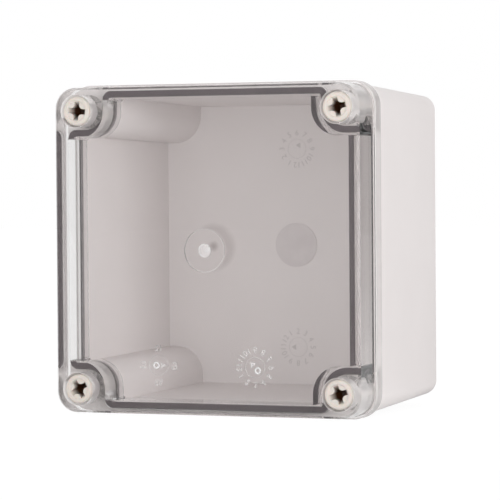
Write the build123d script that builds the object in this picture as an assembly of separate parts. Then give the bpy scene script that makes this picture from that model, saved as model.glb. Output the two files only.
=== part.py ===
from build123d import *
import os

# A square wall-mounting enclosure: a moulded base with four corner columns, a clear lid with a
# gasket in its rim, and four captive cover screws. Millimetres. Every piece is built lying on
# its back, with heights above the back face, and then stood up so that the lid faces -Y.

# Overall sizes
FLANGE_SIDE = 125.0         # outside of the lid's flange, the widest part
TOTAL_DEPTH = 97.0          # back face to lid front
LID_DEPTH = 20.0            # joint plane to lid front
SCREW_INSET = 10.0          # flange's side to the axes of the cover screws and wall holes

# Lid
LID_FRONT_INSET = 1.25      # flange's side to the outline of the front face
LID_DRAFT = 1.0             # degrees, front part of the lid's side
LID_CORNER_R = 8.0          # outline corner at the front face
LID_FRONT_BEVEL = 0.8
LID_PLATE = 3.0             # thickness of the clear window
FLANGE_DEPTH = 6.0
FLANGE_CORNER_R = 9.6
FLANGE_BEVEL = 0.5
RIB_INSET = 2.3             # gasket's middle line to the rib's inner face
GATE_DISH_D = 16.2          # round dish left round the injection gate
GATE_DISH_DEPTH = 0.6
GATE_NUB_D = 5.0
GATE_NUB_HEIGHT = 0.45
GATE_DOME_D = 21.0          # shallow dome that backs the dish on the inner face
GATE_DOME_HEIGHT = 0.6

# Gasket and its groove
SEAL_INSET = 3.6            # flange's side to the gasket's middle line
SEAL_TURN_R = 8.15          # middle line's radius where it passes inside a screw
SEAL_EDGE_R = 2.2
SHARP_EDGE_R = 0.4          # smallest radius that the mould leaves there
SEAL_WIDTH = 2.4
SEAL_THICKNESS = 2.0        # as pressed by the closed lid
GROOVE_WIDTH = 2.6
GROOVE_DEPTH = 5.0
TONGUE_WIDTH = 2.2          # lip of the base that presses the gasket

# Base
BASE_INSET = 1.0            # flange's side to the base's side, at the joint plane
BASE_CORNER_R = 8.5
BASE_DRAFT = 2.2            # degrees, outside
BACK_EDGE_R = 5.0
CAVITY_DRAFT = 1.4          # degrees, inside
FLOOR = 3.0
COLUMN_BORE_D = 7.6         # takes the cover screw's thread and lets the wall screw's head pass
COLUMN_FLOOR = 4.5          # seat of the wall screw's head, above the back face
WALL_HOLE_D = 4.3
FLOOR_DISC_D = 17.7         # round pad opposite the base's injection gate
FLOOR_DISC_HEIGHT = 0.4

# Cover screws
HEAD_D = 10.9
HEAD_LENGTH = 9.8
HEAD_SINK = 0.2             # head's top below the lid's front
HEAD_BEVEL = 0.5
POCKET_D = 12.4
LID_HOLE_D = 7.2
NECK_D = 6.4                # slimmer than the thread, so that the lid keeps the screw
THREAD_D = 7.5
THREAD_CLEAR = 0.6          # start of the thread below the joint plane
THREAD_LENGTH = 17.0
CROSS_SPAN = 7.5            # across the cross recess at its mouth
CROSS_WIDTH = 2.0
CROSS_DEPTH = 6.0
CROSS_END_SLOPE = 26.0      # degrees, the wings' ends
CROSS_PAD_R = 1.4           # round corners of the four pads between the wings
SCREW_TURNS = {             # degrees anticlockwise, as seen from the front
    "cover_screw_top_left": -6.0,
    "cover_screw_top_right": 13.0,
    "cover_screw_bottom_left": 31.0,
    "cover_screw_bottom_right": 19.0,
}

JOINT_HEIGHT = TOTAL_DEPTH - LID_DEPTH
LID_FRONT_SIDE = FLANGE_SIDE - 2 * LID_FRONT_INSET
BASE_RIM_SIDE = FLANGE_SIDE - 2 * BASE_INSET
SEAL_HALF = FLANGE_SIDE / 2 - SEAL_INSET
SCREW_AT = FLANGE_SIDE / 2 - SCREW_INSET
GROOVE_TOP = JOINT_HEIGHT + GROOVE_DEPTH
TONGUE_TOP = GROOVE_TOP - SEAL_THICKNESS
POCKET_FLOOR = TOTAL_DEPTH - HEAD_SINK - HEAD_LENGTH
CORNERS = [(sx, sy) for sx in (-1, 1) for sy in (-1, 1)]
TINY = 1e-6


def farthest(corner):
    """How far a corner lies from the box's middle, along X or Y."""
    return max(abs(corner.X), abs(corner.Y))


def lean_walls(block, neutral_height, slope):
    """Leans the walls of a straight block; they stay in place at the neutral height."""
    walls = [f for f in block.faces() if abs(f.normal_at().Z) < 0.5]
    return draft(walls, Plane.XY.offset(neutral_height), slope)


def drafted_square(side, corner_r, top, depth, slope):
    """A square block with round upright edges, from its top down, SLOPE degrees slimmer below."""
    block = Pos(0, 0, top - depth) * extrude(RectangleRounded(side, side, corner_r), depth)
    return lean_walls(block, top, -slope)


def turned_outline(grow):
    """The outline GROW outside the gasket's middle line: four sides, and a turn inside each screw."""
    turn = SEAL_TURN_R - grow
    half = SEAL_HALF + grow
    beside_screw = SCREW_AT - turn
    outline = Rectangle(2 * half, 2 * beside_screw) + Rectangle(2 * beside_screw, 2 * half)
    near_screws = [v for v in outline.vertices() if farthest(v) < half - TINY]
    return fillet(near_screws, turn)


def seal_outline(grow):
    """The same outline, with the corners rounded where its turns meet its sides.

    All its round stretches are concentric with those of the gasket's middle line.
    """
    outline = turned_outline(grow)
    on_sides = [v for v in outline.vertices() if farthest(v) > SEAL_HALF + grow - TINY]
    return fillet(on_sides, max(SEAL_EDGE_R + grow, SHARP_EDGE_R))


def base_cavity():
    """The hollow of the base inside the seal's path, slimmer towards its floor."""
    hollow = extrude(turned_outline(-TONGUE_WIDTH / 2), TONGUE_TOP - FLOOR)
    return lean_walls(Pos(0, 0, FLOOR) * hollow, TONGUE_TOP, -CAVITY_DRAFT)


def at_screws(shape, height=0.0):
    """Copies of a shape on the four screw axes."""
    return [Pos(sx * SCREW_AT, sy * SCREW_AT, height) * shape for sx, sy in CORNERS]


def cylinder_between(diameter, low, high):
    """An upright cylinder from one height to another."""
    return Pos(0, 0, low) * extrude(Circle(diameter / 2), high - low)


def stand_up(shape):
    """From lying on its back to standing with the lid facing -Y."""
    return Rot(90, 0, 0) * shape


def make_base():
    """The moulded base: a drafted shell with four corner columns and the lip for the gasket."""
    body = drafted_square(BASE_RIM_SIDE, BASE_CORNER_R, JOINT_HEIGHT, JOINT_HEIGHT, BASE_DRAFT)
    body = fillet(body.faces().sort_by(Axis.Z)[0].edges(), BACK_EDGE_R)
    tongue = Pos(0, 0, JOINT_HEIGHT) * extrude(seal_outline(TONGUE_WIDTH / 2), TONGUE_TOP - JOINT_HEIGHT)
    body = body + tongue - base_cavity()
    body += cylinder_between(FLOOR_DISC_D, FLOOR / 2, FLOOR + FLOOR_DISC_HEIGHT)
    body -= at_screws(cylinder_between(COLUMN_BORE_D, COLUMN_FLOOR, TOTAL_DEPTH))
    body -= at_screws(cylinder_between(WALL_HOLE_D, 0, COLUMN_FLOOR))
    return body


def make_lid():
    """The clear lid: window, side wall, flange, gasket groove and the four screw pockets."""
    outline = RectangleRounded(FLANGE_SIDE, FLANGE_SIDE, FLANGE_CORNER_R)
    flange = Pos(0, 0, JOINT_HEIGHT) * extrude(outline, FLANGE_DEPTH)
    flange = chamfer(flange.faces().sort_by(Axis.Z)[-1].edges(), FLANGE_BEVEL)
    wall_depth = LID_DEPTH - FLANGE_DEPTH / 2
    wall = drafted_square(LID_FRONT_SIDE, LID_CORNER_R, TOTAL_DEPTH, wall_depth, -LID_DRAFT)
    wall = chamfer(wall.faces().sort_by(Axis.Z)[-1].edges(), LID_FRONT_BEVEL)
    body = flange + wall
    body -= Pos(0, 0, JOINT_HEIGHT) * extrude(seal_outline(-RIB_INSET), LID_DEPTH - LID_PLATE)
    groove = seal_outline(GROOVE_WIDTH / 2) - seal_outline(-GROOVE_WIDTH / 2)
    body -= Pos(0, 0, JOINT_HEIGHT) * extrude(groove, GROOVE_DEPTH)
    body -= at_screws(cylinder_between(POCKET_D, POCKET_FLOOR, TOTAL_DEPTH))
    body -= at_screws(cylinder_between(LID_HOLE_D, JOINT_HEIGHT, POCKET_FLOOR))
    dish_floor = TOTAL_DEPTH - GATE_DISH_DEPTH
    body -= cylinder_between(GATE_DISH_D, dish_floor, TOTAL_DEPTH)
    body += cylinder_between(GATE_NUB_D, dish_floor, dish_floor + GATE_NUB_HEIGHT)
    body += inner_dome()
    return body


def inner_dome():
    """The shallow dome on the window's inner face, a slice of a large ball."""
    half = GATE_DOME_D / 2
    ball_r = (half ** 2 + GATE_DOME_HEIGHT ** 2) / (2 * GATE_DOME_HEIGHT)
    window = TOTAL_DEPTH - LID_PLATE
    ball = Pos(0, 0, window - GATE_DOME_HEIGHT + ball_r) * Sphere(ball_r)
    slab = cylinder_between(GATE_DOME_D, window - GATE_DOME_HEIGHT, window)
    return ball & slab


def make_gasket():
    """The endless gasket, pressed flat between the groove and the base's lip."""
    ring = seal_outline(SEAL_WIDTH / 2) - seal_outline(-SEAL_WIDTH / 2)
    return Pos(0, 0, TONGUE_TOP) * extrude(ring, SEAL_THICKNESS)


def cross_recess():
    """The cross recess below its mouth: two crossed wings whose ends slope to a small flat bottom."""
    wing = Rectangle(CROSS_SPAN, CROSS_WIDTH)
    mouth = wing + Rot(0, 0, 90) * wing
    between_wings = [v for v in mouth.vertices() if farthest(v) < CROSS_SPAN / 2 - TINY]
    mouth = fillet(between_wings, CROSS_PAD_R)
    wings = extrude(mouth, -CROSS_DEPTH)
    around = extrude(Rectangle(CROSS_SPAN, CROSS_SPAN), -CROSS_DEPTH)
    return wings & lean_walls(around, 0, -CROSS_END_SLOPE)


def make_screw(turn):
    """A captive cover screw: tall round head, slim neck and a thread shown by its outside."""
    head_top = TOTAL_DEPTH - HEAD_SINK
    thread_top = JOINT_HEIGHT - THREAD_CLEAR
    thread_low = thread_top - THREAD_LENGTH
    head_r = HEAD_D / 2
    half_profile = Polyline(
        (0, thread_low),
        (THREAD_D / 2, thread_low),
        (THREAD_D / 2, thread_top),
        (NECK_D / 2, thread_top),
        (NECK_D / 2, POCKET_FLOOR),
        (head_r, POCKET_FLOOR),
        (head_r, head_top - HEAD_BEVEL),
        (head_r - HEAD_BEVEL, head_top),
        (0, head_top),
        close=True,
    )
    body = revolve(Plane.XZ * make_face(half_profile), Axis.Z)
    return body - Pos(0, 0, head_top) * Rot(0, 0, turn) * cross_recess()


def main():
    os.makedirs("parts", exist_ok=True)
    pieces = {"base": make_base(), "lid": make_lid(), "gasket": make_gasket()}
    for name, turn in SCREW_TURNS.items():
        sx = 1 if name.endswith("right") else -1
        sy = 1 if "top" in name else -1
        pieces[name] = Pos(sx * SCREW_AT, sy * SCREW_AT, 0) * make_screw(turn)
    for name, piece in pieces.items():
        solid = stand_up(piece)
        solid.label = name
        export_step(solid, f"parts/{name}.step")


main()
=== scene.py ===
import math

import bpy
from mathutils import Matrix, Vector


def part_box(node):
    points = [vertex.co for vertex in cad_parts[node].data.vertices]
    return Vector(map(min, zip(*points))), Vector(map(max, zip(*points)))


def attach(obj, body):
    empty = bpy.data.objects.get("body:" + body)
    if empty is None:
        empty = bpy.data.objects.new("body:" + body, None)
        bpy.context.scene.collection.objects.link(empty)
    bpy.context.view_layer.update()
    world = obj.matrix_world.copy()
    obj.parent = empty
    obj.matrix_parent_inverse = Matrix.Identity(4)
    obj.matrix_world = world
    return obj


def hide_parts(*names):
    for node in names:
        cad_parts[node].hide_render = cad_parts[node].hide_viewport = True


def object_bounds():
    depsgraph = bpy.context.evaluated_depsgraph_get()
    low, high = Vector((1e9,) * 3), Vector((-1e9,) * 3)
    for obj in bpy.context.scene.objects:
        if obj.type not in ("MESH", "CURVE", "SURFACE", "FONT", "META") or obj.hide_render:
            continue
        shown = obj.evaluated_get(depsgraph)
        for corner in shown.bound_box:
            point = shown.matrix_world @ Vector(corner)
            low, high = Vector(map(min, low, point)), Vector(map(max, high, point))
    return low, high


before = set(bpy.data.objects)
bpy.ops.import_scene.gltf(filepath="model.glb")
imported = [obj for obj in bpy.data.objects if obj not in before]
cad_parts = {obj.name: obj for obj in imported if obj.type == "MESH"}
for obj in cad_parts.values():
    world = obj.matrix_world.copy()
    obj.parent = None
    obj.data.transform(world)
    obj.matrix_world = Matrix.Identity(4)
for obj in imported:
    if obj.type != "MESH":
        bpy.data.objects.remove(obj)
cad_low, cad_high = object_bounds()

MM = 0.001

# The photograph's camera, on a frame 500 pixels wide and high. Distances are in metres.
CAMERA_AZIMUTH = 22.51      # degrees to the right of straight in front
CAMERA_ELEVATION = 1.35     # degrees above the middle of the box
CAMERA_ROLL = -0.42         # degrees
CAMERA_DISTANCE = 1.0541    # from the lid's front face
CAMERA_ASIDE = 0.01688      # to the right of the line through the lid's middle
CAMERA_RAISE = 0.00023      # and above it
CAMERA_REACH = 20.0         # how far it sees
FOCAL_LENGTH_PX = 2844.0
FRAME_PX = 500.0
SENSOR_MM = 36.0

# Places on the box. The screws and the lid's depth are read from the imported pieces.
LID_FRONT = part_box("lid")[0].y
LID_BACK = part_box("lid")[1].y
WINDOW_THICKNESS = 3.0 * MM
WINDOW_BACK = LID_FRONT + WINDOW_THICKNESS
FLOOR_FRONT = -3.0 * MM
SCREW_AT = (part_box("cover_screw_top_right")[0].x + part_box("cover_screw_top_right")[1].x) / 2
HEAD_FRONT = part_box("cover_screw_top_right")[0].y
SCREWS = ("top_left", "top_right", "bottom_left", "bottom_right")

# Meshes
EDGE_ROUND = 0.25 * MM      # radius of the moulded edges
LID_ROUND = 0.45 * MM       # and of the lid's, which are softer
EDGE_SEGMENTS = 2
EDGE_SHARP_ANGLE = math.radians(28)
FLAT_ANGLE = math.radians(0.6)
WELD = 0.002 * MM

# The screws' heads
HEAD_DISH_RADIUS = 4.0 * MM     # shallow dish in a head
HEAD_DISH_DEPTH = 0.3 * MM
HEAD_DISH_CORNERS = 64
RECESS_RADIUS = 4.6 * MM        # holds the whole cross recess, inside the head's side
RECESS_DEPTH = 7.0 * MM         # reaches below the recess, and not to the thread
RECESS_SHADE_FROM = 0.4 * MM          # depth at which the recess's painted shade begins,
RECESS_SHADE_FULL = 3.8 * MM          # and at which the painted shade is wholly dark brown

# The lid
RIB_DRAFT = 0.3 * MM            # how far its inner rib leans outward at the joint
RIB_REACH = 56.7 * MM           # the rib's inner edge lies within this, along X and Z,
RIB_TURN = 10.3 * MM            # and outside this round each screw
POCKET_REACH = 6.35 * MM        # just holds the side of a screw's pocket
POCKET_MATT = 0.55              # how much of the pocket's side looks matt
FLANGE_FRONT = LID_BACK - 5.8 * MM
FLANGE_CORNER_AT = 52.9 * MM    # axis of the flange's round corners, along X and Z
FLANGE_CORNER_RADIUS = 9.6 * MM
FLANGE_SKIN = 0.7 * MM          # this far in from the flange's side, it still counts as the side
FLANGE_MATT = 0.5
DISH_RADIUS = 8.1 * MM          # shallow dish where the melt came in
DISH_FADE = 0.1 * MM            # over which the painted shade round it sets in
DISH_HIGHLIGHT_OUTSIDE = 0.03 * MM   # the bright line round the dish, a painted highlight: how far its two sides lie within
DISH_HIGHLIGHT_INSIDE = 0.2 * MM     # the dish's radius,
DISH_HIGHLIGHT_DEPTH = 0.3 * MM      # and its depth below the lid's front
BREAK_RADIUS = 2.6 * MM         # broken end of the moulding's sprue
BREAK_DEPTH = 0.1 * MM          # below the lid's front
BREAK_THICKNESS = 0.1 * MM
BREAK_CORNERS = 32
SHADE_CRESCENT_AT = (3.3 * MM, 1.2 * MM)         # painted shade, a greyish crescent round the dish: its middle, along X and Z,
SHADE_CRESCENT_RADII = (7.2 * MM, 9.4 * MM)      # where it is full and where it ends,
SHADE_CRESCENT_STRENGTH = 0.45
STREAK_AT = (3.2 * MM, 1.6 * MM)        # and a short grey streak in the dish
STREAK_RADII = (0.4 * MM, 2.2 * MM)

# Moulded marks
MARK_HEIGHT = 0.18 * MM         # how far they stand proud
DISC_RADIUS = 8.85 * MM         # round pad on the base's floor
DISC_TOP = -3.35 * MM           # just behind its front face
DIAL_RADIUS = 6.3 * MM          # middle of a dial's numbers
DIAL_TEXT = 3.2 * MM            # gives numbers 2.2 mm high
DIAL_INNER = 3.9 * MM           # the ring inside a dial's numbers
DIAL_LINE = 0.12 * MM           # and how wide its line is
ARROW_RADIUS = 1.3 * MM
ARROW_AT = 1.6 * MM             # from the dial's middle
PIN_RADIUS = 1.35 * MM          # ring left by an ejector pin
PIN_OPEN = 0.55                 # how much of its radius is open
DISH_HIGHLIGHT_CORNERS = 96
RING_CORNERS = 48
PIN_CORNERS = 8

# The studio
ROOM_LIGHT = 0.77           # light from all around
ROOM_IN_FRONT = 0.40        # how bright the camera's side looks in the clear plastic
ROOM_AT_RIGHT = 0.15        # and the right-hand side, in the plastic's edges
FRONT_BEHIND = (-0.35, 0.10)    # directions along Y at which the front ends and the back begins
RIGHT = (0.0, 0.25)             # directions along X at which the right-hand side begins and is full
FAR_RIGHT = (0.35, 0.50)        # and between which the window itself turns clear again
PLATE_DEPTH = 2.5               # light has turned twice behind one plate, and more often in an edge
FLOOR_SIZE = 8.0
FLOOR_GLOW = 1.06               # makes the floor as white as the room
FLOOR_GLOW_SHARE = 0.9          # the rest of it is its matt skin, which takes the object's shadow

# Each lamp's name, place, aim, width in metres, power in watts, and whether gloss and clear
# plastic show it.
LAMPS = (
    ("right_softbox", (1.7, -0.9, 0.08), (0, -0.05, 0), 0.6, 12.5, False),
    ("front_right_softbox", (1.2, -1.5, 0.05), (0, -0.05, 0), 0.5, 2.5, True),
    ("front_softbox", (0.2, -1.9, 0.05), (0, -0.05, 0), 0.5, 0.8, False),
    ("left_softbox", (-1.3, -1.4, 0.12), (0, -0.05, 0), 0.6, 2.8, True),
    ("table_bounce", (0.05, -0.28, -0.058), (0, -0.12, 0.05), 0.3, 0.4, False),
)

# A Mix node's two colours, by the numbers of their inputs
FIRST_COLOUR = 6
SECOND_COLOUR = 7


def linear(hex_colour):
    """The linear values of an sRGB hex colour."""
    channels = [int(hex_colour[i:i + 2], 16) / 255 for i in (1, 3, 5)]
    return tuple(c / 12.92 if c <= 0.04045 else ((c + 0.055) / 1.055) ** 2.4 for c in channels) + (1.0,)


def lumps(size_mm):
    """The scale at which a noise has lumps of about size_mm."""
    return 1 / (size_mm * MM)


def add_node(tree, kind, inputs=None, **settings):
    """Adds one shader node with its settings and inputs.

    An input is a plain value, a socket to link, or a node, whose first output in use is linked.
    """
    node = tree.nodes.new(kind)
    for name, value in settings.items():
        setattr(node, name, value)
    for name, value in (inputs or {}).items():
        if isinstance(value, bpy.types.Node):
            value = next(socket for socket in value.outputs if socket.enabled)
        if isinstance(value, bpy.types.NodeSocket):
            tree.links.new(value, node.inputs[name])
        else:
            node.inputs[name].default_value = value
    return node


def new_material(name):
    """A material without nodes, and its node tree."""
    material = bpy.data.materials.new(name)
    material.use_nodes = True
    material.node_tree.nodes.clear()
    return material, material.node_tree


def from_axis(tree, place, x, z):
    """The distance from an axis that runs along Y at x and z."""
    level = add_node(tree, "ShaderNodeVectorMath", {0: place, 1: (1, 0, 1)}, operation="MULTIPLY")
    return add_node(tree, "ShaderNodeVectorMath", {0: level, 1: (x, 0, z)}, operation="DISTANCE")


def soft_disc(tree, place, middle, radii):
    """1 within the first radius of an axis along Y, and falling to 0 at the second."""
    full, end = radii
    distance = from_axis(tree, place, *middle)
    return add_node(tree, "ShaderNodeMapRange", {"Value": distance, "From Min": full, "From Max": end,
                                                 "To Min": 1.0, "To Max": 0.0})


def moulded_abs(name, plain, lighter, disc):
    """Injection-moulded ABS, light warm grey: a satin skin with a very fine spark-eroded grain.

    The real grain is too fine to show, and is drawn coarser. The round pad on the floor left the
    mould smoother, and looks a little darker.
    """
    material, tree = new_material(name)
    place = add_node(tree, "ShaderNodeTexCoord").outputs["Object"]
    at = add_node(tree, "ShaderNodeSeparateXYZ", {"Vector": place})
    flow = add_node(tree, "ShaderNodeTexNoise", {"Vector": place, "Scale": lumps(22.0), "Detail": 2.0})
    blotches = add_node(tree, "ShaderNodeTexNoise", {"Vector": place, "Scale": lumps(5.0), "Detail": 2.0})
    texture = add_node(tree, "ShaderNodeTexNoise", {"Vector": place, "Scale": lumps(0.45), "Detail": 3.0})
    moulded = add_node(tree, "ShaderNodeMix", {"Factor": flow, FIRST_COLOUR: linear(plain),
                                               SECOND_COLOUR: linear(lighter)}, data_type="RGBA")
    to_middle = from_axis(tree, place, 0, 0)
    round_pad = add_node(tree, "ShaderNodeMath", {0: to_middle, 1: DISC_RADIUS}, operation="LESS_THAN")
    raised = add_node(tree, "ShaderNodeMath", {0: at.outputs["Y"], 1: DISC_TOP}, operation="LESS_THAN")
    on_pad = add_node(tree, "ShaderNodeMath", {0: round_pad, 1: raised}, operation="MULTIPLY")
    mottle = add_node(tree, "ShaderNodeMapRange", {"Value": blotches, "From Min": 0.35, "From Max": 0.65,
                                                   "To Min": 0.7})
    darker = add_node(tree, "ShaderNodeMath", {0: on_pad, 1: mottle}, operation="MULTIPLY")
    colour = add_node(tree, "ShaderNodeMix", {"Factor": darker, FIRST_COLOUR: moulded,
                                              SECOND_COLOUR: linear(disc)}, data_type="RGBA")
    rough = add_node(tree, "ShaderNodeMapRange", {"Value": texture, "To Min": 0.38, "To Max": 0.50})
    bump = add_node(tree, "ShaderNodeBump", {"Height": texture, "Strength": 0.10, "Distance": 0.05 * MM})
    skin = add_node(tree, "ShaderNodeBsdfPrincipled", {"Base Color": colour, "Roughness": rough,
                                                       "Normal": bump, "IOR": 1.53})
    add_node(tree, "ShaderNodeOutputMaterial", {"Surface": skin})
    return material


def clear_polycarbonate():
    """Polycarbonate, moulded and polished: clear, faintly grey, bright and dark along its edges.

    The screws' pockets and the flange's side came from unpolished parts of the mould, and are
    matt and pale. Round the dish in its middle, where the melt came in, a soft grey crescent up
    and to the right is painted shade.
    """
    material, tree = new_material("polycarbonate_clear_moulded")
    place = add_node(tree, "ShaderNodeTexCoord").outputs["Object"]
    at = add_node(tree, "ShaderNodeSeparateXYZ", {"Vector": place})
    flow = add_node(tree, "ShaderNodeTexNoise", {"Vector": place, "Scale": lumps(14.0), "Detail": 2.0})
    bump = add_node(tree, "ShaderNodeBump", {"Height": flow, "Strength": 0.04, "Distance": 0.05 * MM})

    in_dish = soft_disc(tree, place, (0, 0), (DISH_RADIUS, DISH_RADIUS + DISH_FADE))
    # Painted shade: a soft greyish crescent round the dish, offset up and to the right.
    crescent_shade = soft_disc(tree, place, SHADE_CRESCENT_AT, SHADE_CRESCENT_RADII)
    crescent_shade = add_node(tree, "ShaderNodeMath", {0: crescent_shade, 1: in_dish}, operation="SUBTRACT")
    crescent_shade = add_node(tree, "ShaderNodeMath", {0: crescent_shade, 1: SHADE_CRESCENT_STRENGTH}, operation="MULTIPLY")
    streak = soft_disc(tree, place, STREAK_AT, STREAK_RADII)
    painted_shade_and_streak = add_node(tree, "ShaderNodeMath", {0: crescent_shade, 1: streak}, operation="MAXIMUM")
    colour = add_node(tree, "ShaderNodeMix", {"Factor": painted_shade_and_streak, FIRST_COLOUR: linear("#fcfcfc"),
                                              SECOND_COLOUR: linear("#d2cece")}, data_type="RGBA")
    clear = add_node(tree, "ShaderNodeBsdfPrincipled", {"Base Color": colour, "Normal": bump, "IOR": 1.585,
                                                        "Roughness": 0.015, "Transmission Weight": 1.0})

    mirrored = add_node(tree, "ShaderNodeVectorMath", {0: place}, operation="ABSOLUTE")
    to_screw = from_axis(tree, mirrored, SCREW_AT, SCREW_AT)
    pocket = add_node(tree, "ShaderNodeMath", {0: to_screw, 1: POCKET_REACH}, operation="LESS_THAN")
    pocket = add_node(tree, "ShaderNodeMath", {0: pocket, 1: POCKET_MATT}, operation="MULTIPLY")
    corner = (FLANGE_CORNER_AT, 0, FLANGE_CORNER_AT)
    past_corner = add_node(tree, "ShaderNodeVectorMath", {0: mirrored, 1: corner}, operation="SUBTRACT")
    past_corner = add_node(tree, "ShaderNodeVectorMath", {0: past_corner, 1: (0, 0, 0)},
                           operation="MAXIMUM")
    to_corner = from_axis(tree, past_corner, 0, 0)
    flange = add_node(tree, "ShaderNodeMath", {0: to_corner, 1: FLANGE_CORNER_RADIUS - FLANGE_SKIN},
                      operation="GREATER_THAN")
    low = add_node(tree, "ShaderNodeMath", {0: at.outputs["Y"], 1: FLANGE_FRONT}, operation="GREATER_THAN")
    flange = add_node(tree, "ShaderNodeMath", {0: flange, 1: low}, operation="MULTIPLY")
    flange = add_node(tree, "ShaderNodeMath", {0: flange, 1: FLANGE_MATT}, operation="MULTIPLY")
    unpolished = add_node(tree, "ShaderNodeMath", {0: pocket, 1: flange}, operation="MAXIMUM")
    matt = add_node(tree, "ShaderNodeBsdfDiffuse", {"Color": linear("#e2dddc")})
    body = add_node(tree, "ShaderNodeMixShader", {"Fac": unpolished, 1: clear, 2: matt})

    # Light passes straight on to what lies behind, as refraction would leave the inside too dark.
    path = add_node(tree, "ShaderNodeLightPath")
    lighting = add_node(tree, "ShaderNodeMath", {0: path.outputs["Is Shadow Ray"],
                                                 1: path.outputs["Is Diffuse Ray"]}, operation="MAXIMUM")
    through = add_node(tree, "ShaderNodeBsdfTransparent", {"Color": linear("#fafafa")})
    surface = add_node(tree, "ShaderNodeMixShader", {"Fac": lighting, 1: body, 2: through})
    add_node(tree, "ShaderNodeOutputMaterial", {"Surface": surface})
    return material


def frosted_mark(name, cover):
    """The same polycarbonate where it is rough: matt and whitish, and as dense as cover."""
    material, tree = new_material(name)
    place = add_node(tree, "ShaderNodeTexCoord").outputs["Object"]
    texture = add_node(tree, "ShaderNodeTexNoise", {"Vector": place, "Scale": lumps(0.5), "Detail": 2.0})
    patches = add_node(tree, "ShaderNodeTexNoise", {"Vector": place, "Scale": lumps(2.5), "Detail": 4.0})
    rough = add_node(tree, "ShaderNodeMapRange", {"Value": texture, "To Min": 0.35, "To Max": 0.55})
    density = add_node(tree, "ShaderNodeMapRange", {"Value": patches, "From Min": 0.35, "From Max": 0.65,
                                                    "To Min": 0.6 * cover, "To Max": 1.4 * cover})
    skin = add_node(tree, "ShaderNodeBsdfPrincipled", {"Base Color": linear("#ffffff"), "IOR": 1.585,
                                                       "Roughness": rough, "Alpha": density})
    add_node(tree, "ShaderNodeOutputMaterial", {"Surface": skin})
    return material


def foam_rubber():
    """Closed-cell foam rubber, dark warm grey: matt, with fine pores."""
    material, tree = new_material("foam_rubber_dark_grey")
    place = add_node(tree, "ShaderNodeTexCoord").outputs["Object"]
    pores = add_node(tree, "ShaderNodeTexNoise", {"Vector": place, "Scale": lumps(0.6), "Detail": 4.0})
    colour = add_node(tree, "ShaderNodeMix", {"Factor": pores, FIRST_COLOUR: linear("#5e5658"),
                                              SECOND_COLOUR: linear("#6a6264")}, data_type="RGBA")
    bump = add_node(tree, "ShaderNodeBump", {"Height": pores, "Strength": 0.4, "Distance": 0.1 * MM})
    skin = add_node(tree, "ShaderNodeBsdfPrincipled", {"Base Color": colour, "Normal": bump,
                                                       "Roughness": 0.85})
    add_node(tree, "ShaderNodeOutputMaterial", {"Surface": skin})
    return material


def moulded_nylon():
    """Nylon, moulded, off-white: waxy, lets a little light in below its skin.

    The deep cross recess has painted shade, turning dark brown with its depth.
    """
    material, tree = new_material("nylon_off_white_moulded")
    place = add_node(tree, "ShaderNodeTexCoord").outputs["Object"]
    at = add_node(tree, "ShaderNodeSeparateXYZ", {"Vector": place})
    texture = add_node(tree, "ShaderNodeTexNoise", {"Vector": place, "Scale": lumps(0.8), "Detail": 3.0})
    moulded = add_node(tree, "ShaderNodeMix", {"Factor": texture, FIRST_COLOUR: linear("#d0c8c0"),
                                               SECOND_COLOUR: linear("#d8d0c8")}, data_type="RGBA")
    mirrored = add_node(tree, "ShaderNodeVectorMath", {0: place}, operation="ABSOLUTE")
    to_screw = from_axis(tree, mirrored, SCREW_AT, SCREW_AT)
    recess = add_node(tree, "ShaderNodeMath", {0: to_screw, 1: RECESS_RADIUS}, operation="LESS_THAN")
    in_head = add_node(tree, "ShaderNodeMath", {0: at.outputs["Y"], 1: HEAD_FRONT + RECESS_DEPTH},
                       operation="LESS_THAN")
    recess = add_node(tree, "ShaderNodeMath", {0: recess, 1: in_head}, operation="MULTIPLY")
    # Painted shade: the cross recess darkens to brown with depth, where little light returns.
    deep = add_node(tree, "ShaderNodeMapRange", {"Value": at.outputs["Y"],
                                                 "From Min": HEAD_FRONT + RECESS_SHADE_FROM,
                                                 "From Max": HEAD_FRONT + RECESS_SHADE_FULL})
    painted_recess_shade = add_node(tree, "ShaderNodeMath", {0: recess, 1: deep}, operation="MULTIPLY")
    colour = add_node(tree, "ShaderNodeMix", {"Factor": painted_recess_shade, FIRST_COLOUR: moulded,
                                              SECOND_COLOUR: linear("#3e200c")}, data_type="RGBA")
    bump = add_node(tree, "ShaderNodeBump", {"Height": texture, "Strength": 0.12, "Distance": 0.05 * MM})
    skin = add_node(tree, "ShaderNodeBsdfPrincipled", {"Base Color": colour, "Normal": bump,
                                                       "Roughness": 0.42, "IOR": 1.53,
                                                       "Subsurface Weight": 0.15,
                                                       "Subsurface Scale": 1.0 * MM})
    add_node(tree, "ShaderNodeOutputMaterial", {"Surface": skin})
    return material


def select_only(piece):
    """Selects one piece and nothing else."""
    bpy.ops.object.select_all(action="DESELECT")
    piece.select_set(True)
    bpy.context.view_layer.objects.active = piece


def place_in_mesh(piece, matrix):
    """Moves a piece by changing its mesh, so that its object stays at the origin."""
    piece.data.transform(matrix)
    piece.data.update()


def clothe(piece, material, body):
    """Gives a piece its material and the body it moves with."""
    piece.data.materials.clear()
    piece.data.materials.append(material)
    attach(piece, body)


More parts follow.
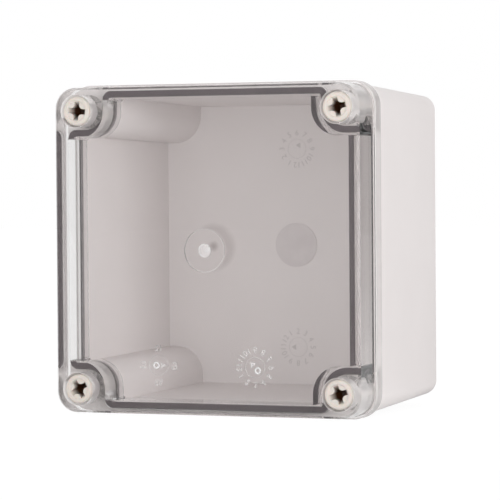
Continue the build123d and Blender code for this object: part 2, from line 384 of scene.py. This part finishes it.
def welded_copy(node, name, whole_faces=True):
    """A copy of a CAD piece with its seams welded and its flat faces whole.

    The lid's flat faces stay as they are: with their holes and the plastic's refraction, whole
    faces would bend the view through them.
    """
    piece = bpy.data.objects.new(name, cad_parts[node].data.copy())
    bpy.context.scene.collection.objects.link(piece)
    select_only(piece)
    bpy.ops.object.mode_set(mode="EDIT")
    bpy.ops.mesh.select_all(action="SELECT")
    bpy.ops.mesh.remove_doubles(threshold=WELD)
    if whole_faces:
        bpy.ops.mesh.dissolve_limited(angle_limit=FLAT_ANGLE)
    bpy.ops.object.mode_set(mode="OBJECT")
    if piece.data.has_custom_normals:
        bpy.ops.mesh.customdata_custom_splitnormals_clear()
    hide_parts(node)
    return piece


def round_edges(piece, radius):
    """Smooths a piece's curved faces and rounds its sharp edges."""
    select_only(piece)
    bpy.ops.object.shade_smooth_by_angle(angle=EDGE_SHARP_ANGLE)
    bevel = piece.modifiers.new("rounded_edges", "BEVEL")
    bevel.width = radius
    bevel.segments = EDGE_SEGMENTS
    bevel.limit_method = "ANGLE"
    bevel.angle_limit = EDGE_SHARP_ANGLE
    bevel.harden_normals = True
    bpy.ops.object.modifier_apply(modifier=bevel.name)
    return piece


def lean_rib(lid):
    """Leans the lid's inner rib outward towards the joint, as its mould needs."""
    for corner in lid.data.vertices:
        at = corner.co
        to_screw = math.hypot(abs(at.x) - SCREW_AT, abs(at.z) - SCREW_AT)
        if LID_BACK - at.y < WELD and max(abs(at.x), abs(at.z)) < RIB_REACH and to_screw > RIB_TURN:
            away = Vector((corner.normal.x, 0, corner.normal.z)).normalized()
            corner.co = at - RIB_DRAFT * away
    lid.data.update()
    return lid


def dished_head(screw, x, z):
    """Sinks the shallow dish into a cover screw's head."""
    bpy.ops.object.select_all(action="DESELECT")
    bpy.ops.mesh.primitive_cone_add(vertices=HEAD_DISH_CORNERS, depth=2 * HEAD_DISH_DEPTH,
                                    radius1=HEAD_DISH_RADIUS + HEAD_DISH_DEPTH,
                                    radius2=HEAD_DISH_RADIUS - HEAD_DISH_DEPTH)
    cutter = bpy.context.active_object
    place_in_mesh(cutter, Matrix.Translation((x, HEAD_FRONT, z)) @ Matrix.Rotation(-math.pi / 2, 4, "X"))
    select_only(screw)
    cut = screw.modifiers.new("dish", "BOOLEAN")
    cut.operation = "DIFFERENCE"
    cut.solver = "EXACT"
    cut.object = cutter
    bpy.ops.object.modifier_apply(modifier=cut.name)
    bpy.data.objects.remove(cutter, do_unlink=True)
    return screw


def moulded_text(words, matrix):
    """Raised characters as a mesh, MARK_HEIGHT thick, placed by a matrix."""
    bpy.ops.object.select_all(action="DESELECT")
    bpy.ops.object.text_add(location=(0, 0, 0))
    text = bpy.context.active_object
    text.data.body = words
    text.data.size = DIAL_TEXT
    text.data.align_x = "CENTER"
    text.data.align_y = "CENTER"
    text.data.extrude = MARK_HEIGHT / 2
    bpy.ops.object.convert(target="MESH")
    piece = bpy.context.active_object
    place_in_mesh(piece, matrix)
    return piece


def raise_mark(mark, matrix):
    """Gives a flat mark that is open in edit mode its height, and places it by a matrix."""
    bpy.ops.mesh.select_all(action="SELECT")
    bpy.ops.mesh.extrude_region_move(TRANSFORM_OT_translate={"value": (0, 0, MARK_HEIGHT)})
    bpy.ops.mesh.select_all(action="SELECT")
    bpy.ops.mesh.normals_make_consistent(inside=False)
    bpy.ops.object.mode_set(mode="OBJECT")
    bpy.ops.object.transform_apply(location=True, rotation=True, scale=True)
    place_in_mesh(mark, Matrix.Translation((0, 0, -MARK_HEIGHT / 2)))
    place_in_mesh(mark, matrix)
    return mark


def flat_ring(outer, inner, matrix, corners):
    """A raised flat ring as a mesh, placed by a matrix."""
    bpy.ops.object.select_all(action="DESELECT")
    bpy.ops.mesh.primitive_circle_add(vertices=corners, radius=outer, fill_type="NOTHING")
    ring = bpy.context.active_object
    bpy.ops.object.mode_set(mode="EDIT")
    bpy.ops.mesh.select_all(action="SELECT")
    bpy.ops.mesh.extrude_edges_move()
    bpy.ops.transform.resize(value=(inner / outer, inner / outer, 1))
    return raise_mark(ring, matrix)


def dial_arrow(matrix):
    """The raised arrow in a dial's middle."""
    bpy.ops.object.select_all(action="DESELECT")
    bpy.ops.mesh.primitive_circle_add(vertices=3, radius=ARROW_RADIUS, fill_type="NGON",
                                      location=(0, ARROW_AT, 0))
    arrow = bpy.context.active_object
    bpy.ops.object.mode_set(mode="EDIT")
    return raise_mark(arrow, matrix)


def dial(name, labels, first_angle, arrow_angle, onto):
    """A mould's dial: labels round a ring, and an arrow in its middle.

    The angles are in degrees, and onto places the dial on its wall.
    """
    pieces = []
    for i, label in enumerate(labels):
        angle = math.radians(first_angle) - i * 2 * math.pi / len(labels)
        turn = Matrix.Rotation(angle, 4, "Z") @ Matrix.Translation((0, DIAL_RADIUS, 0))
        pieces.append(moulded_text(label, onto @ turn))
    pieces.append(flat_ring(DIAL_INNER, DIAL_INNER - DIAL_LINE, onto, RING_CORNERS))
    pieces.append(dial_arrow(onto @ Matrix.Rotation(math.radians(arrow_angle), 4, "Z")))
    bpy.ops.object.select_all(action="DESELECT")
    for piece in pieces:
        piece.select_set(True)
    bpy.context.view_layer.objects.active = pieces[0]
    bpy.ops.object.join()
    joined = bpy.context.active_object
    joined.name = name
    return joined


def on_floor(x_mm, z_mm):
    """Places a mark on the base's floor, to be read from the front."""
    return Matrix.Translation((x_mm * MM, FLOOR_FRONT, z_mm * MM)) @ Matrix.Rotation(math.pi / 2, 4, "X")


def on_window(x_mm, z_mm):
    """Places a mark on the window's inner face, to be read from inside the box."""
    turned = Matrix.Rotation(math.pi, 4, "Z") @ Matrix.Rotation(math.pi / 2, 4, "X")
    return Matrix.Translation((x_mm * MM, WINDOW_BACK + MARK_HEIGHT, z_mm * MM)) @ turned


def in_lid_front(depth):
    """Places a round mark in the middle of the lid's front, at a depth."""
    return Matrix.Translation((0, LID_FRONT + depth, 0)) @ Matrix.Rotation(math.pi / 2, 4, "X")


def sprue_break():
    """The broken end of the sprue, a rough round spot on the nub in the lid's dish."""
    bpy.ops.object.select_all(action="DESELECT")
    bpy.ops.mesh.primitive_cylinder_add(vertices=BREAK_CORNERS, radius=BREAK_RADIUS, depth=BREAK_THICKNESS)
    spot = bpy.context.active_object
    place_in_mesh(spot, in_lid_front(BREAK_DEPTH))
    return spot


def seen_ray(tree):
    """1 for a ray that shows the surroundings: from the camera, or off or through a clear piece."""
    path = add_node(tree, "ShaderNodeLightPath")
    in_plastic = add_node(tree, "ShaderNodeMath", {0: path.outputs["Is Glossy Ray"],
                                                   1: path.outputs["Is Transmission Ray"]},
                          operation="MAXIMUM")
    return add_node(tree, "ShaderNodeMath", {0: path.outputs["Is Camera Ray"], 1: in_plastic},
                    operation="MAXIMUM")


def room_tone(tree, way):
    """How bright the room looks in a direction: white behind the box, dim in front of it.

    It is dark on the right for light that the clear plastic's edges have turned more than once. Far
    to the right it stays white for light straight through the window, so that the window is clear
    from the left as well. The camera itself always sees white.
    """
    at = add_node(tree, "ShaderNodeSeparateXYZ", {"Vector": way})
    path = add_node(tree, "ShaderNodeLightPath")
    behind = add_node(tree, "ShaderNodeMapRange", {"Value": at.outputs["Y"], "From Min": FRONT_BEHIND[0],
                                                   "From Max": FRONT_BEHIND[1]})
    right = add_node(tree, "ShaderNodeMapRange", {"Value": at.outputs["X"], "From Min": RIGHT[0],
                                                  "From Max": RIGHT[1], "To Min": 1.0,
                                                  "To Max": ROOM_AT_RIGHT})
    far_right = add_node(tree, "ShaderNodeMapRange", {"Value": at.outputs["X"], "From Min": FAR_RIGHT[0],
                                                      "From Max": FAR_RIGHT[1]})
    one_plate = add_node(tree, "ShaderNodeMath", {0: path.outputs["Ray Depth"], 1: PLATE_DEPTH},
                         operation="LESS_THAN")
    clear = add_node(tree, "ShaderNodeMath", {0: one_plate, 1: far_right}, operation="MULTIPLY")
    beside = add_node(tree, "ShaderNodeMath", {0: right, 1: clear}, operation="MAXIMUM")
    tone = add_node(tree, "ShaderNodeMix", {"Factor": behind, "A": ROOM_IN_FRONT, "B": beside})
    return add_node(tree, "ShaderNodeMath", {0: tone, 1: path.outputs["Is Camera Ray"]},
                    operation="MAXIMUM")


def white_floor():
    """A plain floor that looks as white as the room and takes the object's shadow."""
    bpy.ops.object.select_all(action="DESELECT")
    bpy.ops.mesh.primitive_plane_add(size=FLOOR_SIZE, location=(0, 0, cad_low.z))
    floor = bpy.context.active_object
    floor.name = "floor"
    material, tree = new_material("floor_white")
    matt = add_node(tree, "ShaderNodeBsdfDiffuse", {"Color": linear("#e8e8e8")})
    place = add_node(tree, "ShaderNodeNewGeometry").outputs["Position"]
    from_lid = add_node(tree, "ShaderNodeVectorMath", {0: place, 1: (0, LID_FRONT, 0)},
                        operation="SUBTRACT")
    way = add_node(tree, "ShaderNodeVectorMath", {0: from_lid}, operation="NORMALIZE")
    tone = add_node(tree, "ShaderNodeMath", {0: room_tone(tree, way), 1: FLOOR_GLOW}, operation="MULTIPLY")
    glow = add_node(tree, "ShaderNodeEmission", {"Color": linear("#ffffff"), "Strength": tone})
    share = add_node(tree, "ShaderNodeMath", {0: seen_ray(tree), 1: FLOOR_GLOW_SHARE}, operation="MULTIPLY")
    surface = add_node(tree, "ShaderNodeMixShader", {"Fac": share, 1: matt, 2: glow})
    add_node(tree, "ShaderNodeOutputMaterial", {"Surface": surface})
    floor.data.materials.append(material)


def white_room():
    """Even light from all around, and the room as the camera and the clear plastic see it."""
    world = bpy.data.worlds.new("white_room")
    bpy.context.scene.world = world
    world.use_nodes = True
    tree = world.node_tree
    tree.nodes.clear()
    way = add_node(tree, "ShaderNodeTexCoord").outputs["Generated"]
    strength = add_node(tree, "ShaderNodeMix", {"Factor": seen_ray(tree), "A": ROOM_LIGHT,
                                                "B": room_tone(tree, way)})
    background = add_node(tree, "ShaderNodeBackground", {"Color": linear("#ffffff"), "Strength": strength})
    add_node(tree, "ShaderNodeOutputWorld", {"Surface": background})


def lamps():
    """Plain soft lamps, which the camera doesn't see."""
    for name, place, aim_at, width, power, mirrored in LAMPS:
        light = bpy.data.lights.new(name, "AREA")
        light.size = width
        light.energy = power
        lamp = bpy.data.objects.new(name, light)
        bpy.context.scene.collection.objects.link(lamp)
        aim = Vector(aim_at) - Vector(place)
        lamp.matrix_world = Matrix.Translation(place) @ aim.to_track_quat("-Z", "Y").to_matrix().to_4x4()
        lamp.visible_camera = False
        lamp.visible_glossy = mirrored
        lamp.visible_transmission = mirrored


def camera():
    """The camera that took the photograph: beside and slightly above the lid's middle."""
    azimuth = math.radians(CAMERA_AZIMUTH)
    elevation = math.radians(CAMERA_ELEVATION)
    roll = math.radians(CAMERA_ROLL)
    back = Vector((math.sin(azimuth) * math.cos(elevation), -math.cos(azimuth) * math.cos(elevation),
                   math.sin(elevation)))
    level = Vector((math.cos(azimuth), math.sin(azimuth), 0))
    rise = back.cross(level)
    right = math.cos(roll) * level + math.sin(roll) * rise
    up = -math.sin(roll) * level + math.cos(roll) * rise
    place = (Vector((0, LID_FRONT, 0)) + back * CAMERA_DISTANCE + right * CAMERA_ASIDE
             + up * CAMERA_RAISE)
    lens = bpy.data.cameras.new("camera")
    lens.sensor_width = SENSOR_MM
    lens.lens = FOCAL_LENGTH_PX / FRAME_PX * SENSOR_MM
    lens.clip_end = CAMERA_REACH
    eye = bpy.data.objects.new("camera", lens)
    bpy.context.scene.collection.objects.link(eye)
    turn = Matrix((right, up, back)).transposed().to_4x4()
    eye.matrix_world = Matrix.Translation(place) @ turn
    bpy.context.scene.camera = eye


abs_grey = moulded_abs("abs_light_grey_moulded", "#e4dedd", "#eae4e3", "#d6cfcf")
# The floor's dials get a darker copy of the ABS: painted shade, in place of the shade of their low relief.
abs_mark_painted_shade = moulded_abs("abs_grey_mark_painted_shade", "#ccc6c5", "#d2cccb", "#ccc6c5")
polycarbonate = clear_polycarbonate()
window_mark = frosted_mark("polycarbonate_moulded_mark", 0.24)
pin_mark = frosted_mark("polycarbonate_pin_mark", 0.5)
# Rough frosted plastic for the sprue's broken end, also used for the painted highlight on the dish's edge.
rough_spot_and_painted_highlight = frosted_mark("polycarbonate_rough_spot", 0.17)
faint_mark = frosted_mark("polycarbonate_faint_mark", 0.18)
rubber = foam_rubber()
nylon = moulded_nylon()

base_moulding = round_edges(welded_copy("base", "base_moulding"), EDGE_ROUND)
clothe(base_moulding, abs_grey, "base_body")
lid_moulding = round_edges(lean_rib(welded_copy("lid", "lid_moulding", whole_faces=False)), LID_ROUND)
clothe(lid_moulding, polycarbonate, "lid_body")
gasket_strip = round_edges(welded_copy("gasket", "gasket_strip"), EDGE_ROUND)
clothe(gasket_strip, rubber, "lid_body")
for corner in SCREWS:
    x = SCREW_AT if corner.endswith("right") else -SCREW_AT
    z = SCREW_AT if corner.startswith("top") else -SCREW_AT
    screw = dished_head(welded_copy("cover_screw_" + corner, "screw_" + corner), x, z)
    clothe(round_edges(screw, EDGE_ROUND), nylon, "screw_" + corner + "_body")

# Dials: place in mm, angle of the first label and of the arrow in degrees, and the pin's place.
NUMBERS = [str(n) for n in range(1, 13)]
QUARTERS = ["12", "03", "06", "09"]
# The floor's dials wear the darker ABS, whose darkness is painted shade.
for name, x, z, first, arrow in (("floor_dial_upper", 0.5, 38.5, 150, -30),
                                 ("floor_dial_lower", 0.5, -41.0, 30, 90)):
    clothe(dial(name, NUMBERS, first, arrow, on_floor(x, z)), abs_mark_painted_shade, "base_body")
for name, labels, skin, x, z, first, arrow, pin_x, pin_z in (
        ("window_dial_right", NUMBERS, window_mark, 19.2, -43.2, -120, -45, 20.2, -44.3),
        ("window_dial_left", QUARTERS, faint_mark, -19.8, -43.0, 0, 90, -20.8, -43.0)):
    clothe(dial(name, labels, first, arrow, on_window(x, z)), skin, "lid_body")
    pin = flat_ring(PIN_RADIUS, PIN_RADIUS * PIN_OPEN, on_window(pin_x, pin_z), PIN_CORNERS)
    pin.name = name + "_pin_ring"
    clothe(pin, pin_mark, "lid_body")
spot = sprue_break()
spot.name = "sprue_break"
clothe(spot, rough_spot_and_painted_highlight, "lid_body")
# A painted highlight: a thin frosted ring where the dish's rounded edge would catch the light.
painted_dish_highlight = flat_ring(DISH_RADIUS - DISH_HIGHLIGHT_OUTSIDE, DISH_RADIUS - DISH_HIGHLIGHT_INSIDE,
                      in_lid_front(DISH_HIGHLIGHT_DEPTH), DISH_HIGHLIGHT_CORNERS)
painted_dish_highlight.name = "painted_dish_highlight"
clothe(painted_dish_highlight, rough_spot_and_painted_highlight, "lid_body")

white_floor()
white_room()
lamps()
camera()
bpy.context.scene.view_settings.view_transform = "Standard"
